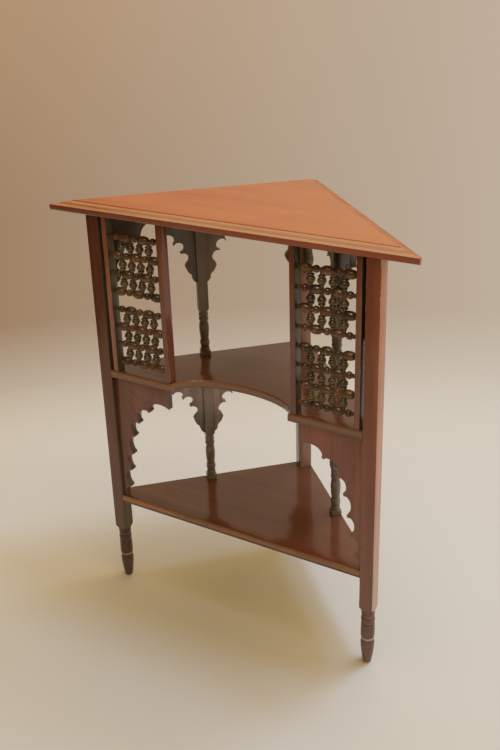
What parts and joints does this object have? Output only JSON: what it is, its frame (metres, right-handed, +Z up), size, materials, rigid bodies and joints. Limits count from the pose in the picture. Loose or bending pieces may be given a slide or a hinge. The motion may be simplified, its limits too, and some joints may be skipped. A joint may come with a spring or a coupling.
{
  "type": "corner table",
  "caption": "Triangular corner table with a moulded top, middle shelf with a curved bay, bottom shelf, turned lattice panels, scalloped aprons and brackets, and turned feet.",
  "frame": {"origin": "on the floor, under the middle of the top board's bounding box", "axes": "+Z up, -Y is the long front side, +X to the right seen from the front, the square corner points to +Y"},
  "size_m": [0.625, 0.3146, 0.71],
  "materials": {
    "polished_top": "waxed mahogany, faded to a warm orange brown, satin",
    "frame_wood": "dark red-brown French polish, glossy, worn pale on the edges",
    "polished_shelves": "dark red-brown French polish, glossy",
    "turned_posts": "dark brown polish, glossy",
    "fretted_brackets": "dark brown polish, satin",
    "turned_beads": "dark brown turned wood, polished, with worn orange high spots"
  },
  "bodies": {
    "root": {"top_board": "polished_top", "left_front_leg": "frame_wood", "right_front_leg": "frame_wood", "back_leg": "frame_wood", "upper_left_post": "turned_posts", "upper_right_post": "turned_posts", "lower_left_post": "turned_posts", "lower_right_post": "turned_posts", "mid_shelf": "polished_shelves", "bottom_shelf": "polished_shelves", "left_outer_stile": "frame_wood", "left_inner_stile": "frame_wood", "right_outer_stile": "frame_wood", "right_inner_stile": "frame_wood", "left_apron": "frame_wood", "right_apron": "frame_wood", "left_lattice_row_1": "turned_beads", "left_lattice_row_2": "turned_beads", "left_lattice_row_3": "turned_beads", "left_lattice_row_4": "turned_beads", "left_lattice_row_5": "turned_beads", "left_lattice_row_6": "turned_beads", "left_lattice_row_7": "turned_beads", "left_lattice_row_8": "turned_beads", "right_lattice_row_1": "turned_beads", "right_lattice_row_2": "turned_beads", "right_lattice_row_3": "turned_beads", "right_lattice_row_4": "turned_beads", "right_lattice_row_5": "turned_beads", "right_lattice_row_6": "turned_beads", "right_lattice_row_7": "turned_beads", "right_lattice_row_8": "turned_beads", "left_upper_bracket_front_leg": "fretted_brackets", "left_upper_bracket_post_front": "fretted_brackets", "left_upper_bracket_post_back": "fretted_brackets", "left_upper_bracket_back_leg": "fretted_brackets", "left_lower_bracket_front_leg": "fretted_brackets", "left_lower_bracket_post_front": "fretted_brackets", "left_lower_bracket_post_back": "fretted_brackets", "left_lower_bracket_back_leg": "fretted_brackets", "right_upper_bracket_front_leg": "fretted_brackets", "right_upper_bracket_post_front": "fretted_brackets", "right_upper_bracket_post_back": "fretted_brackets", "right_upper_bracket_back_leg": "fretted_brackets", "right_lower_bracket_front_leg": "fretted_brackets", "right_lower_bracket_post_front": "fretted_brackets", "right_lower_bracket_post_back": "fretted_brackets", "right_lower_bracket_back_leg": "fretted_brackets"}
  },
  "joints": []
}
